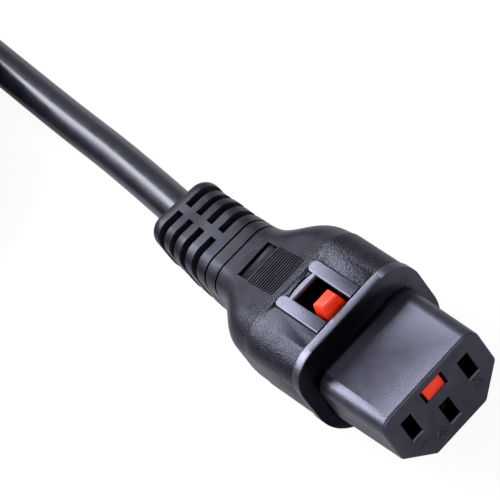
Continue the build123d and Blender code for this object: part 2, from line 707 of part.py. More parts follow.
def tube(points, label):
    """Plain round tube along straight runs joined by tangent arcs."""
    radii = bend_radii(points)
    with BuildPart() as piece:
        with BuildLine() as path:
            FilletPolyline(*points, radius=radii)
        with BuildSketch(Plane(origin=path.line @ 0, z_dir=path.line % 0)):
            Circle(CORD_RADIUS)
        sweep(path=path.line)
    length = sum(edge.length for edge in path.edges())
    print(f"{label}: radii {[round(radius) for radius in radii]}, length {length:.1f}")
    print(f"{label}: volume over section by length {piece.part.volume / (pi * CORD_RADIUS**2 * length):.4f}")
    save(piece.part, label)


tube(cord_points, "cable")
tube(tail_points, "cable_tail")

# The coiled length as one ring, with a straight lead at each end
coil_height = COIL_LAYERS * CORD_DIAMETER
coil_middle = (COIL_INNER_TURN + COIL_OUTER_TURN) / 2
coil_wide = COIL_OUTER_TURN - COIL_INNER_TURN + CORD_DIAMETER
coil_section = Plane(origin=(coil_x, coil_y, COIL_LIFT), x_dir=(0, 1, 0), z_dir=(1, 0, 0))
coil_axis = Axis((coil_x, coil_y, 0), (0, 0, 1))
with BuildPart() as cable_coil:
    with BuildSketch(coil_section):
        with Locations((coil_middle, coil_height / 2)):
            RectangleRounded(coil_wide + 2 * COIL_SPARE, coil_height + 2 * COIL_SPARE, COIL_EDGE)
    revolve(axis=coil_axis)
    for x, height in ((coil_x + COIL_OUTER_TURN, coil_floor), (tail_x, coil_floor + CORD_DIAMETER)):
        with BuildSketch(Plane(origin=(x, coil_y - COIL_LEAD, height), z_dir=(0, 1, 0))):
            Circle(CORD_RADIUS)
        extrude(amount=COIL_LEAD)
save(cable_coil.part, "cable_coil")

# Strap round the coil, on its far side
tie_turn = degrees(TIE_WIDTH / COIL_OUTER_TURN)
with BuildPart() as cable_tie:
    with BuildSketch(coil_section):
        with Locations((coil_middle, coil_height / 2)):
            for spare, mode in ((TIE_PLAY + TIE_THICKNESS, Mode.ADD), (TIE_PLAY, Mode.SUBTRACT)):
                RectangleRounded(
                    coil_wide + 2 * (COIL_SPARE + spare),
                    coil_height + 2 * (COIL_SPARE + spare),
                    COIL_EDGE + spare,
                    mode=mode,
                )
    revolve(axis=coil_axis, revolution_arc=tie_turn)
save(cable_tie.part, "cable_tie")

# Plug: shroud, body and ringed relief in one moulding, its open end towards -Y
plug_end, plug_along = tail_points[-1], Vector(0, -1, 0)
plug_relief_y = plug_end.Y - PLUG_RELIEF
plug_body_y = plug_relief_y - PLUG_BODY
plug_face_y = plug_body_y - PLUG_SHROUD


def plug_plane(y):
    """Plane across the plug, facing its open end."""
    return Plane(origin=(plug_end.X, y, plug_z), x_dir=(1, 0, 0), z_dir=(0, -1, 0))


with BuildPart() as plug_body:
    with BuildSketch(plug_plane(plug_relief_y)):
        RectangleRounded(2 * PLUG_HALF, 2 * PLUG_HIGH, PLUG_CORNER)
    extrude(amount=PLUG_BODY + PLUG_SHROUD)
    fillet(plug_body.faces().sort_by(Axis.Y)[0].edges(), PLUG_EDGE)
    fillet(plug_body.faces().sort_by(Axis.Y)[-1].edges(), PLUG_CORNER - PLUG_EDGE)
    with BuildSketch(plug_plane(plug_relief_y)):
        Circle(PLUG_NECK_HALF)
    with BuildSketch(plug_plane(plug_end.Y)):
        Circle(PLUG_END_RADIUS)
    loft()
    for index in range(PLUG_RING_COUNT):
        ring_y = plug_end.Y - PLUG_RING_PITCH * (index + 1)
        with BuildSketch(plug_plane(ring_y)):
            Circle(2 * PLUG_NECK_HALF)
            Circle(PLUG_END_RADIUS - 0.5, mode=Mode.SUBTRACT)
        extrude(amount=PLUG_RING_PITCH / 2, mode=Mode.SUBTRACT)
    with BuildSketch(plug_plane(plug_face_y)):
        add(nose_outline(PLUG_FIT))
    extrude(amount=-PLUG_RECESS, mode=Mode.SUBTRACT)
    with BuildSketch(plug_plane(plug_face_y + PLUG_RECESS)):
        with Locations(*POLES.values()):
            Rectangle(PIN_WIDTH, PIN_HEIGHT)
    extrude(amount=-PLUG_PIN_ROOT, mode=Mode.SUBTRACT)
save(plug_body.part, "plug_body")

for pole, place in POLES.items():
    with BuildPart() as pin:
        with BuildSketch(plug_plane(plug_face_y + PLUG_RECESS + PLUG_PIN_ROOT)):
            with Locations(place):
                Rectangle(PIN_WIDTH, PIN_HEIGHT)
        extrude(amount=PLUG_PIN_ROOT + PLUG_PIN_LENGTH)
        tip = pin.faces().sort_by(Axis.Y)[0]
        chamfer(tip.edges(), 0.4)
    save(pin.part, f"plug_{pole}_pin")
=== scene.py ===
"""A locking appliance connector with a red release slide, lying at the end of its coiled cord.

Metres throughout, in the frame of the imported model: -Y is the way the nose points, +Z is up and the
connector lies on Z = 0. The camera and the cord are made first, then each sub-assembly is dressed.
"""

import logging
import math
from dataclasses import dataclass
from enum import Enum
from typing import Dict, List, Optional, Sequence, Tuple, Union

import bpy
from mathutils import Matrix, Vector

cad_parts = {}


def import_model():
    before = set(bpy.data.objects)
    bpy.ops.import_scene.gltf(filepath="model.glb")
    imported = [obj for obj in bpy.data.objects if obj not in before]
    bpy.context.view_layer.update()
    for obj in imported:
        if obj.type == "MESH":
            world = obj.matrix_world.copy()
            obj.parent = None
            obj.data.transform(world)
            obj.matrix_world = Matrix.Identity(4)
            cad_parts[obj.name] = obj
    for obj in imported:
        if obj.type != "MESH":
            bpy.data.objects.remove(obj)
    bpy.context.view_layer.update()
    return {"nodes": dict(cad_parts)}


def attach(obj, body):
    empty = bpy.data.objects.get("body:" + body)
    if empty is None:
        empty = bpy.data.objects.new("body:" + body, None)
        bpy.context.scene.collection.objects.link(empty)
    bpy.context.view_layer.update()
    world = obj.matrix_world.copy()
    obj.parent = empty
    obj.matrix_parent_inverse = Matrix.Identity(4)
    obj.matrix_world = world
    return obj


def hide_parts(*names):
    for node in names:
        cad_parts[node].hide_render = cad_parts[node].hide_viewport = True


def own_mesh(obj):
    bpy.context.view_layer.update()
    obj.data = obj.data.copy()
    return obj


log = logging.getLogger("connector")

Point = Tuple[float, float, float]
Colour = Tuple[float, float, float]
Span = Tuple[float, float]
Socket = bpy.types.NodeSocket

MM = 0.001
FACE_Y = -37.6 * MM  # the nose's front face
AXIS_Z = 9.0 * MM  # the nose's centre line
ORIGIN: Point = (0.0, 0.0, 0.0)
EVEN: Point = (1.0, 1.0, 1.0)
WHITE: Colour = (1.0, 1.0, 1.0)


def place(x: float, back: float, rise: float) -> Point:
    """A point in metres from millimetres across, behind the nose's face and above its centre."""
    return (x * MM, FACE_Y + back * MM, AXIS_Z + rise * MM)


def lengths(x: float, y: float, z: float) -> Point:
    """Three lengths in metres from millimetres."""
    return (x * MM, y * MM, z * MM)


# Shader node groups


class Sockets(Enum):
    """Kinds of socket that the shared groups use."""

    VALUE = "NodeSocketFloat"
    VECTOR = "NodeSocketVector"


@dataclass(frozen=True)
class Wire:
    """Short forms for building a node tree."""

    tree: bpy.types.NodeTree

    def node(self, kind: str, **settings: object) -> bpy.types.Node:
        """Adds a node and sets its properties.

        Args:
            kind: the node's type, without the leading ShaderNode.
            settings: properties of the node, by name.

        Returns:
            The new node.
        """
        made = self.tree.nodes.new(kind if kind.startswith("Node") else "ShaderNode" + kind)
        for name, value in settings.items():
            setattr(made, name, value)
        return made

    def join(self, source: Socket, target: Socket) -> None:
        """Links an output to an input."""
        self.tree.links.new(source, target)

    def feed(self, target: Socket, source: object) -> None:
        """Links an input, or sets its plain value.

        Args:
            target: the input.
            source: a socket or a value.
        """
        if isinstance(source, Socket):
            self.join(source, target)
        else:
            target.default_value = source

    def maths(
        self, operation: str, first: object, second: object = 0.0, clamp: bool = False
    ) -> Socket:
        """Adds a Math node.

        Args:
            operation: the name of the operation.
            first: a socket or number.
            second: a socket or number.
            clamp: whether the result is held between 0 and 1.

        Returns:
            The result's socket.
        """
        made = self.node("Math", operation=operation, use_clamp=clamp)
        self.feed(made.inputs[0], first)
        self.feed(made.inputs[1], second)
        return made.outputs[0]

    def vectors(self, operation: str, first: Socket, second: Optional[Socket] = None) -> Socket:
        """Adds a Vector Math node.

        Args:
            operation: the name of the operation.
            first: a vector's socket.
            second: another, where the operation takes two.

        Returns:
            The resulting vector's socket.
        """
        made = self.node("VectorMath", operation=operation)
        self.join(first, made.inputs[0])
        if second:
            self.join(second, made.inputs[1])
        return made.outputs[0]

    def spread(
        self, value: Socket, low: float, high: float, to_low: float = 0.0, to_high: float = 1.0
    ) -> Socket:
        """Maps a range of values smoothly onto another.

        Args:
            value: the value's socket.
            low: the value that gives to_low, as all below it do.
            high: the value that gives to_high, as all above it do.
            to_low: the result at the low end.
            to_high: the result at the high end.

        Returns:
            The result's socket.
        """
        made = self.node("MapRange", interpolation_type="SMOOTHSTEP")
        for socket, source in zip(made.inputs, (value, low, high, to_low, to_high)):
            self.feed(socket, source)
        return made.outputs[0]

    def blend(self, share: Socket, first: object, second: object) -> Socket:
        """Mixes two colours.

        Args:
            share: how much of the second colour shows.
            first: a socket or colour.
            second: a socket or colour.

        Returns:
            The mixed colour's socket.
        """
        made = self.node("Mix", data_type="RGBA", blend_type="MIX")
        self.join(share, made.inputs[0])
        for socket, source in ((made.inputs[6], first), (made.inputs[7], second)):
            self.feed(socket, source if isinstance(source, Socket) else (*source, 1.0))
        return made.outputs[2]

    def layer(self, share: Socket, under: Socket, over: Socket) -> Socket:
        """Mixes two shaders.

        Args:
            share: how much of the upper shader shows.
            under: the lower shader's socket.
            over: the upper shader's socket.

        Returns:
            The mixed shader's socket.
        """
        made = self.node("MixShader")
        for socket, source in zip(made.inputs, (share, under, over)):
            self.join(source, socket)
        return made.outputs[0]

    def own_place(self) -> Socket:
        """Place on the piece, in the model's coordinates."""
        return self.node("TexCoord").outputs["Object"]

    def turned(self, at: Socket, rotation: Point = ORIGIN, scale: Point = EVEN) -> Socket:
        """Turns and stretches a pattern.

        Args:
            at: the coordinates' socket.
            rotation: angles about X, Y and Z, in radians.
            scale: factors along X, Y and Z.

        Returns:
            The new coordinates' socket.
        """
        made = self.node("Mapping")
        made.inputs["Rotation"].default_value = rotation
        made.inputs["Scale"].default_value = scale
        self.join(at, made.inputs["Vector"])
        return made.outputs[0]

    def noise(self, at: Socket, scale: object, detail: float, roughness: float = 0.5) -> Socket:
        """Adds a noise texture.

        Args:
            at: the coordinates' socket.
            scale: a socket or number, to the metre.
            detail: the layers of finer noise.
            roughness: how strong the finer layers are.

        Returns:
            The noise's socket.
        """
        made = self.node("TexNoise", noise_dimensions="3D")
        self.join(at, made.inputs["Vector"])
        self.feed(made.inputs["Scale"], scale)
        made.inputs["Detail"].default_value = detail
        made.inputs["Roughness"].default_value = roughness
        return made.outputs[0]

    def placed(self, group: bpy.types.NodeTree, **values: object) -> bpy.types.Node:
        """Places a shared group with its own values.

        Args:
            group: the group.
            values: its inputs by label, with underscores for spaces.

        Returns:
            The group's node.
        """
        made = self.node("Group", node_tree=group)
        for label, value in values.items():
            made.inputs[label.replace("_", " ")].default_value = value
        return made

    def relief(self, height: Socket, depth: float, shader: bpy.types.Node) -> None:
        """Raises a shader's surface by a pattern.

        Args:
            height: the pattern's socket.
            depth: how high a value of 1 stands, in metres.
            shader: the shader whose Normal it feeds.
        """
        bump = self.node("Bump")
        bump.inputs["Distance"].default_value = depth
        self.join(height, bump.inputs["Height"])
        self.join(bump.outputs[0], shader.inputs["Normal"])


class SharedGroup:
    """A shader group with named sockets, while it is being built."""

    def __init__(
        self, name: str, inputs: Dict[str, Tuple[Sockets, object]], outputs: Sequence[str]
    ) -> None:
        """Makes the empty group.

        Args:
            name: the group's name.
            inputs: kind and default value of each input.
            outputs: the names of its outputs, all of them values.
        """
        self.tree = bpy.data.node_groups.new(name, "ShaderNodeTree")
        for label, (kind, value) in inputs.items():
            made = self.tree.interface.new_socket(
                name=label, in_out="INPUT", socket_type=kind.value
            )
            made.default_value = value
        for label in outputs:
            self.tree.interface.new_socket(
                name=label, in_out="OUTPUT", socket_type=Sockets.VALUE.value
            )
        self.wire = Wire(self.tree)
        self.given = self.wire.node("NodeGroupInput").outputs
        self.results = self.wire.node("NodeGroupOutput").inputs


class SharedEffects:
    """The node groups that several finishes place with their own values."""

    def __init__(self) -> None:
        """Builds each group once."""
        self.grain = self.moulded_grain()
        self.marks = self.handling_marks()
        self.inside = self.inside_box()

    @staticmethod
    def moulded_grain() -> bpy.types.NodeTree:
        """Spark-eroded mould texture: fine grain over a faint broad mottle.

        Returns:
            A group with outputs Height and Mottle.
        """
        group = SharedGroup(
            "moulded grain",
            {
                "Grain per metre": (Sockets.VALUE, 4000.0),
                "Mottle per metre": (Sockets.VALUE, 500.0),
                "Grain share": (Sockets.VALUE, 0.7),
            },
            ("Height", "Mottle"),
        )
        wire, given = group.wire, group.given
        at = wire.own_place()
        fine = wire.noise(at, given["Grain per metre"], detail=3.0, roughness=0.65)
        broad = wire.noise(at, given["Mottle per metre"], detail=4.0)
        cells = wire.node("TexVoronoi", voronoi_dimensions="3D", feature="SMOOTH_F1")
        cells.inputs["Smoothness"].default_value = 0.4
        wire.join(at, cells.inputs["Vector"])
        wire.join(given["Grain per metre"], cells.inputs["Scale"])
        domed = wire.maths("SUBTRACT", 1.0, cells.outputs["Distance"])
        both = wire.maths("MULTIPLY", wire.maths("ADD", fine, domed), 0.5)
        share = given["Grain share"]
        height = wire.maths(
            "ADD",
            wire.maths("MULTIPLY", wire.spread(both, 0.3, 0.75), share),
            wire.maths("MULTIPLY", broad, wire.maths("SUBTRACT", 1.0, share)),
        )
        wire.join(height, group.results["Height"])
        wire.join(wire.spread(broad, 0.3, 0.7), group.results["Mottle"])
        return group.tree

    @staticmethod
    def handling_marks() -> bpy.types.NodeTree:
        """Thin random rubs and a few lighter smears from handling.

        Returns:
            A group with output Rubs, 0 for clean and 1 for rubbed.
        """
        group = SharedGroup(
            "handling marks",
            {"Rubs per metre": (Sockets.VALUE, 160.0), "Amount": (Sockets.VALUE, 0.5)},
            ("Rubs",),
        )
        wire, given = group.wire, group.given
        along = wire.turned(wire.own_place(), rotation=(0.2, 0.1, 0.6), scale=(1.0, 0.25, 1.0))
        smear = wire.noise(along, given["Rubs per metre"], detail=6.0, roughness=0.7)
        rubs = wire.maths("MULTIPLY", wire.spread(smear, 0.55, 0.72), given["Amount"])
        wire.join(rubs, group.results["Rubs"])
        return group.tree

    @staticmethod
    def inside_box() -> bpy.types.NodeTree:
        """Where a surface lies inside a box given in the model's own coordinates.

        Returns:
            A group with output Inside, 1 in the box and 0 outside, with a soft border within it.
        """
        group = SharedGroup(
            "inside box",
            {
                "Middle": (Sockets.VECTOR, ORIGIN),
                "Half size": (Sockets.VECTOR, lengths(10.0, 10.0, 10.0)),
                "Border": (Sockets.VECTOR, lengths(0.4, 0.4, 0.4)),
            },
            ("Inside",),
        )
        wire, given = group.wire, group.given
        away = wire.vectors("SUBTRACT", wire.own_place(), given["Middle"])
        depth = wire.vectors("SUBTRACT", given["Half size"], wire.vectors("ABSOLUTE", away))
        sides = wire.node("SeparateXYZ")
        wire.join(wire.vectors("DIVIDE", depth, given["Border"]), sides.inputs[0])
        across, along, up = sides.outputs
        least = wire.maths("MINIMUM", wire.maths("MINIMUM", across, along), up)
        wire.join(wire.spread(least, 0.0, 1.0), group.results["Inside"])
        return group.tree


# Finishes


def bare_tree(holder: Union[bpy.types.Material, bpy.types.World]) -> Wire:
    """Turns on the nodes of a material or world and clears them.

    Args:
        holder: the material or world.

    Returns:
        Its wiring helper.
    """
    holder.use_nodes = True
    holder.node_tree.nodes.clear()
    return Wire(holder.node_tree)


def blank_material(name: str) -> Tuple[bpy.types.Material, Wire, bpy.types.Node]:
    """Makes a material with a Principled BSDF wired to its output.

    Args:
        name: the material's name.

    Returns:
        The material, its wiring helper and its shader node.
    """
    material = bpy.data.materials.new(name)
    wire = bare_tree(material)
    shader = wire.node("BsdfPrincipled")
    wire.join(shader.outputs[0], wire.node("OutputMaterial").inputs[0])
    return material, wire, shader


def seen_directly(wire: Wire, mirrored: float) -> Socket:
    """Mask for what the camera sees itself, through something clear or in a gloss.

    Args:
        wire: the tree's wiring helper.
        mirrored: how much of it a gloss shows.

    Returns:
        The mask's socket.
    """
    path = wire.node("LightPath").outputs
    plain = wire.maths("MAXIMUM", path["Is Camera Ray"], path["Is Transmission Ray"])
    return wire.maths("MAXIMUM", plain, wire.maths("MULTIPLY", path["Is Glossy Ray"], mirrored))


@dataclass(frozen=True)
class Zone:
    """A box, in the model's coordinates, inside which a finish changes."""

    middle: Point
    half: Point
    border: Point = lengths(0.4, 0.4, 0.4)
    share: float = 1.0

    def inside(self, wire: Wire, effects: SharedEffects) -> Socket:
        """How strongly the change shows at a point.

        Args:
            wire: the material's wiring helper.
            effects: the shared shader groups.

        Returns:
            The share's socket.
        """
        box = wire.placed(
            effects.inside, Middle=self.middle, Half_size=self.half, Border=self.border
        )
        return wire.maths("MULTIPLY", box.outputs["Inside"], self.share)


@dataclass(frozen=True)
class Moulding:
    """A moulded plastic or soft PVC surface.

    Attributes:
        name: the material's name.
        colour: the darker of its two shades.
        bloom: the paler shade of its mottle.
        roughness: least and most roughness.
        grain: grains to the metre.
        grain_depth: how high the grain stands, in metres.
        grain_share: the grain's part of the relief, the rest being mottle.
        mottle: patches of mottle to the metre.
        rubs: how strong the marks of handling are.
        specular: the level of its gloss.
        tint: the gloss's colour.
        subsurface: how much light passes into it.
        shelter: how near a wall has to be to close off a gap.
        closed: openness at which a gap is painted black, and at which it is lit in full.
        dark: zones painted dark as shade that no light reaches.
        grained: zone in which the grain is at its full height, or None for all over.
        bare: smooth panel within that zone.
        gap_shade: share of the colour that is left in the painted shade.
        faint: height of the grain outside its zone.
        polish: how much smoother a rub is.
    """

    name: str
    colour: Colour
    bloom: Colour
    roughness: Span
    grain: float
    grain_depth: float
    grain_share: float = 0.75
    mottle: float = 420.0
    rubs: float = 0.4
    specular: float = 0.5
    tint: Colour = (0.86, 0.86, 1.0)
    subsurface: float = 0.0
    shelter: float = 1.2 * MM
    closed: Span = (0.40, 0.88)
    dark: Sequence[Zone] = ()
    grained: Optional[Zone] = None
    bare: Optional[Zone] = None
    gap_shade: float = 0.05
    faint: float = 0.2
    polish: float = 0.12

    def make(self, effects: SharedEffects) -> bpy.types.Material:
        """Builds the material.

        Args:
            effects: the shared shader groups.

        Returns:
            The finished material.
        """
        material, wire, shader = blank_material(self.name)
        grain = wire.placed(
            effects.grain,
            Grain_per_metre=self.grain,
            Mottle_per_metre=self.mottle,
            Grain_share=self.grain_share,
        )
        mottle = grain.outputs["Mottle"]
        rubs = wire.placed(effects.marks, Amount=self.rubs).outputs["Rubs"]
        lit = self.open_to_light(wire, effects)
        rubbed = tuple(min(1.0, 1.5 * part + 0.004) for part in self.bloom)
        worn = wire.blend(rubs, wire.blend(mottle, self.colour, self.bloom), rubbed)
        # painted shade: in narrow gaps and in the dark zones the colour falls to gap_shade of itself
        shade = tuple(self.gap_shade * part for part in self.colour)
        wire.join(wire.blend(lit, shade, worn), shader.inputs["Base Color"])
        # painted shade: in gaps and dark zones the surface also turns to a black metal, which has no
        # gloss, so it stays dark from every side
        wire.join(wire.maths("SUBTRACT", 1.0, lit), shader.inputs["Metallic"])
        rough = wire.maths(
            "SUBTRACT",
            wire.spread(mottle, 0.0, 1.0, *self.roughness),
            wire.maths("MULTIPLY", rubs, self.polish),
        )
        wire.join(rough, shader.inputs["Roughness"])
        height = self.grain_height(wire, effects, grain.outputs["Height"])
        wire.relief(height, self.grain_depth, shader)
        shader.inputs["Specular IOR Level"].default_value = self.specular
        shader.inputs["Specular Tint"].default_value = (*self.tint, 1.0)
        if self.subsurface:
            shader.inputs["Subsurface Weight"].default_value = self.subsurface
            shader.inputs["Subsurface Radius"].default_value = (1.0, 0.25, 0.1)
            shader.inputs["Subsurface Scale"].default_value = 0.6 * MM
        return material

    def open_to_light(self, wire: Wire, effects: SharedEffects) -> Socket:
        """Mask of painted shade, which falls to 0 in narrow gaps and in the dark zones.

        Args:
            wire: the material's wiring helper.
            effects: the shared shader groups.

        Returns:
            The mask's socket.
        """
        # painted shade: ambient occlusion darkens narrow gaps
        around = wire.node("AmbientOcclusion", samples=8, only_local=True)
        around.inputs["Distance"].default_value = self.shelter
        lit = wire.spread(around.outputs["AO"], *self.closed)
        for zone in self.dark:
            outside = wire.maths("SUBTRACT", 1.0, zone.inside(wire, effects))
            lit = wire.maths("MULTIPLY", lit, outside)
        return lit

    def grain_height(self, wire: Wire, effects: SharedEffects, height: Socket) -> Socket:
        """Lowers the grain outside its zone and on the bare panel.

        Args:
            wire: the material's wiring helper.
            effects: the shared shader groups.
            height: the grain's full height.

        Returns:
            The height's socket.
        """
        if not self.grained:
            return height
        share = self.grained.inside(wire, effects)
        if self.bare:
            share = wire.maths("SUBTRACT", share, self.bare.inside(wire, effects), clamp=True)
        return wire.maths("MULTIPLY", height, wire.spread(share, 0.0, 1.0, self.faint, 1.0))


@dataclass(frozen=True)
class Metal:
    """A stamped or drawn metal surface.

    Attributes:
        name: the material's name.
        colour: the clean metal's colour.
        tarnish: its colour where it has been handled.
        roughness: its middle roughness.
        lines: stretch of the drawing marks along X, Y and Z.
        uneven: share by which the roughness goes up and down.
        streaks: drawing marks to the metre.
        depth: how high they stand, in metres.
        handled: patches of tarnish to the metre.
    """

    name: str
    colour: Colour
    tarnish: Colour
    roughness: float
    lines: Point = EVEN
    uneven: float = 0.3
    streaks: float = 2500.0
    depth: float = 0.01 * MM
    handled: float = 300.0

    def make(self, effects: SharedEffects) -> bpy.types.Material:
        """Builds the material.

        Args:
            effects: the shared shader groups.

        Returns:
            The finished material.
        """
        material, wire, shader = blank_material(self.name)
        drawn = wire.turned(wire.own_place(), scale=self.lines)
        streaks = wire.noise(drawn, self.streaks, detail=3.0)
        marks = wire.placed(effects.marks, Rubs_per_metre=self.handled, Amount=1.0)
        tarnished = wire.blend(marks.outputs["Rubs"], self.colour, self.tarnish)
        wire.join(tarnished, shader.inputs["Base Color"])
        low, high = self.roughness * (1.0 - self.uneven), self.roughness * (1.0 + self.uneven)
        wire.join(wire.spread(streaks, 0.3, 0.7, low, high), shader.inputs["Roughness"])
        wire.relief(streaks, self.depth, shader)
        shader.inputs["Metallic"].default_value = 1.0
        return material


@dataclass(frozen=True)
class Insulation:
    """Extruded core insulation, plain or with a stripe that winds along it.

    Attributes:
        name: the material's name.
        colour: its colour.
        stripe: the stripe's colour, if it has one.
        bands: how close the stripes are.
        grain: grains to the metre.
        roughness: least and most roughness.
        darker: share of the colour that its mottle falls to.
    """

    name: str
    colour: Colour
    stripe: Optional[Colour] = None
    bands: float = 90.0
    grain: float = 2500.0
    roughness: Span = (0.3, 0.45)
    darker: float = 0.8

    def make(self, effects: SharedEffects) -> bpy.types.Material:
        """Builds the material.

        Args:
            effects: the shared shader groups.

        Returns:
            The finished material.
        """
        material, wire, shader = blank_material(self.name)
        mottle = wire.placed(effects.grain, Grain_per_metre=self.grain).outputs["Mottle"]
        shade = wire.blend(
            mottle, self.colour, tuple(self.darker * part for part in self.colour)
        )
        if self.stripe:
            waves = wire.node("TexWave", wave_type="BANDS", bands_direction="DIAGONAL")
            waves.inputs["Scale"].default_value = self.bands
            wire.join(wire.own_place(), waves.inputs["Vector"])
            shade = wire.blend(wire.spread(waves.outputs["Fac"], 0.45, 0.55), shade, self.stripe)
        wire.join(shade, shader.inputs["Base Color"])
        rough = wire.spread(mottle, 0.0, 1.0, *self.roughness)
        wire.join(rough, shader.inputs["Roughness"])
        return material


@dataclass(frozen=True)
class Woven:
    """Hook and loop strap: a fine even weave with a fuzzy sheen.

    Attributes:
        name: the material's name.
        colour: its colour between the loops.
        threads: loops to the metre.
        depth: how high they stand, in metres.
        roughness: least and most roughness.
        sheen: how strongly its fibres catch the light.
        specular: the level of its gloss.
    """

    name: str
    colour: Colour
    threads: float = 1400.0
    depth: float = 0.25 * MM
    roughness: Span = (0.8, 0.95)
    sheen: float = 0.06
    specular: float = 0.2

    def make(self, effects: SharedEffects) -> bpy.types.Material:
        """Builds the material.

        Args:
            effects: the shared shader groups.

        Returns:
            The finished material.
        """
        material, wire, shader = blank_material(self.name)
        loops = wire.node("TexVoronoi", voronoi_dimensions="3D")
        loops.inputs["Scale"].default_value = self.threads
        wire.join(wire.own_place(), loops.inputs["Vector"])
        raised = loops.outputs["Distance"]
        lighter = tuple(1.8 * part + 0.002 for part in self.colour)
        wire.join(wire.blend(raised, self.colour, lighter), shader.inputs["Base Color"])
        mottle = wire.placed(effects.grain).outputs["Mottle"]
        rough = wire.spread(mottle, 0.0, 1.0, *self.roughness)
        wire.join(rough, shader.inputs["Roughness"])
        wire.relief(raised, self.depth, shader)
        shader.inputs["Sheen Weight"].default_value = self.sheen
        shader.inputs["Specular IOR Level"].default_value = self.specular
        return material


# painted shade: the pin ways, the window well and the flange's front are painted dark, where shade
# falls
POLE_WAYS = Zone(middle=place(0.0, 9.4, 3.0), half=lengths(10.4, 9.2, 4.0))
EARTH_WAY = Zone(middle=place(0.0, 9.4, -2.5), half=lengths(3.0, 9.2, 3.5))
WINDOW_WELL = Zone(middle=place(0.0, 25.2, 8.4), half=lengths(3.2, 4.9, 4.3))
FLANGE_FRONT = Zone(
    middle=place(-9.0, 17.7, 0.0),
    half=lengths(24.0, 0.9, 16.0),
    border=lengths(16.0, 0.6, 1.0),
    share=0.86,
)
GRIP_GRAIN = Zone(
    middle=place(0.0, 26.0, 0.0),
    half=lengths(20.0, 14.0, 20.0),
    border=lengths(1.0, 7.0, 1.0),
)
PANEL_BY_RAIL = Zone(
    middle=place(-7.6, 26.0, 13.0),
    half=lengths(1.9, 6.4, 2.5),
    border=lengths(0.2, 0.2, 0.2),
    share=0.8,
)
# painted shade: the red slide is painted dark below the window, where shade falls
SLIDE_BELOW_WINDOW = Zone(middle=place(0.0, 26.0, 5.0), half=lengths(3.0, 6.0, 5.9))

HARD_BLACK = Moulding(
    name="hard black",
    colour=(0.012, 0.012, 0.017),
    bloom=(0.020, 0.020, 0.030),
    roughness=(0.34, 0.38),
    grain=3600.0,
    grain_depth=0.012 * MM,
    rubs=0.08,
    specular=0.85,
    tint=(0.76, 0.76, 1.0),
    dark=(POLE_WAYS, EARTH_WAY, WINDOW_WELL, FLANGE_FRONT),
)
SOFT_BLACK = Moulding(
    name="soft grained black",
    colour=(0.007, 0.007, 0.011),
    bloom=(0.012, 0.012, 0.018),
    roughness=(0.28, 0.34),
    grain=2500.0,
    grain_depth=0.045 * MM,
    grain_share=0.9,
    rubs=0.2,
    specular=0.185,
    tint=(0.76, 0.77, 1.0),
    shelter=0.9 * MM,
    closed=(0.70, 0.98),
    grained=GRIP_GRAIN,
    bare=PANEL_BY_RAIL,
)
JACKET_BLACK = Moulding(
    name="cord jacket",
    colour=(0.006, 0.006, 0.010),
    bloom=(0.009, 0.009, 0.014),
    roughness=(0.235, 0.27),
    grain=1500.0,
    grain_depth=0.006 * MM,
    mottle=200.0,
    rubs=0.5,
)
PLUG_BLACK = Moulding(
    name="plug black",
    colour=(0.009, 0.009, 0.012),
    bloom=(0.014, 0.014, 0.018),
    roughness=(0.34, 0.42),
    grain=2500.0,
    grain_depth=0.03 * MM,
    grain_share=0.9,
    specular=0.3,
)
INNER_BLACK = Moulding(
    name="inner mould",
    colour=(0.05, 0.05, 0.05),
    bloom=(0.07, 0.07, 0.07),
    roughness=(0.5, 0.6),
    grain=2500.0,
    grain_depth=0.02 * MM,
)
RELEASE_RED = Moulding(
    name="release red",
    colour=(0.90, 0.032, 0.004),
    bloom=(0.95, 0.045, 0.008),
    roughness=(0.30, 0.38),
    grain=2200.0,
    grain_depth=0.006 * MM,
    rubs=0.15,
    tint=WHITE,
    subsurface=0.15,
    dark=(SLIDE_BELOW_WINDOW,),
)
PLATE_STEEL = Metal(
    name="plate steel",
    colour=(0.55, 0.55, 0.54),
    tarnish=(0.38, 0.37, 0.35),
    roughness=0.35,
    lines=(1.0, 0.1, 1.0),
)
SPRING_STEEL = Metal(
    name="spring wire",
    colour=(0.6, 0.6, 0.6),
    tarnish=(0.45, 0.45, 0.44),
    roughness=0.25,
)
CONTACT_BRASS = Metal(
    name="contact brass",
    colour=(0.80, 0.60, 0.25),
    tarnish=(0.52, 0.36, 0.14),
    roughness=0.28,
    lines=(1.0, 0.1, 1.0),
)
BARE_COPPER = Metal(
    name="bare copper",
    colour=(0.85, 0.42, 0.25),
    tarnish=(0.55, 0.24, 0.13),
    roughness=0.35,
    lines=(1.0, 0.05, 1.0),
)
PIN_NICKEL = Metal(
    name="nickelled pin",
    colour=(0.74, 0.71, 0.62),
    tarnish=(0.60, 0.55, 0.44),
    roughness=0.22,
    lines=(1.0, 0.1, 1.0),
)
BROWN_CORE = Insulation(name="brown core", colour=(0.16, 0.06, 0.025))
BLUE_CORE = Insulation(name="blue core", colour=(0.03, 0.14, 0.50))
EARTH_CORE = Insulation(
    name="green and yellow core", colour=(0.06, 0.33, 0.05), stripe=(0.75, 0.62, 0.04)
)
STRAP_BLACK = Woven(name="strap weave", colour=(0.008, 0.008, 0.009))


# Camera, light and floor


@dataclass(frozen=True)
class Softbox:
    """An oblong area lamp that faces the object.

    Attributes:
        name: the lamp's name.
        at: where it stands.
        size: its width and height.
        power: its power in watts.
        colour: its light's colour.
    """

    name: str
    at: Point
    size: Span
    power: float
    colour: Colour = (0.92, 0.93, 1.0)

    def build(self) -> None:
        """Adds the lamp to the scene."""
        data = bpy.data.lights.new(self.name, "AREA")
        data.shape = "RECTANGLE"
        data.size, data.size_y = self.size
        data.energy = self.power
        data.color = self.colour
        made = bpy.data.objects.new(self.name, data)
        made.location = self.at
        made.rotation_euler = (-Vector(self.at)).to_track_quat("-Z", "Y").to_euler()
        bpy.context.scene.collection.objects.link(made)


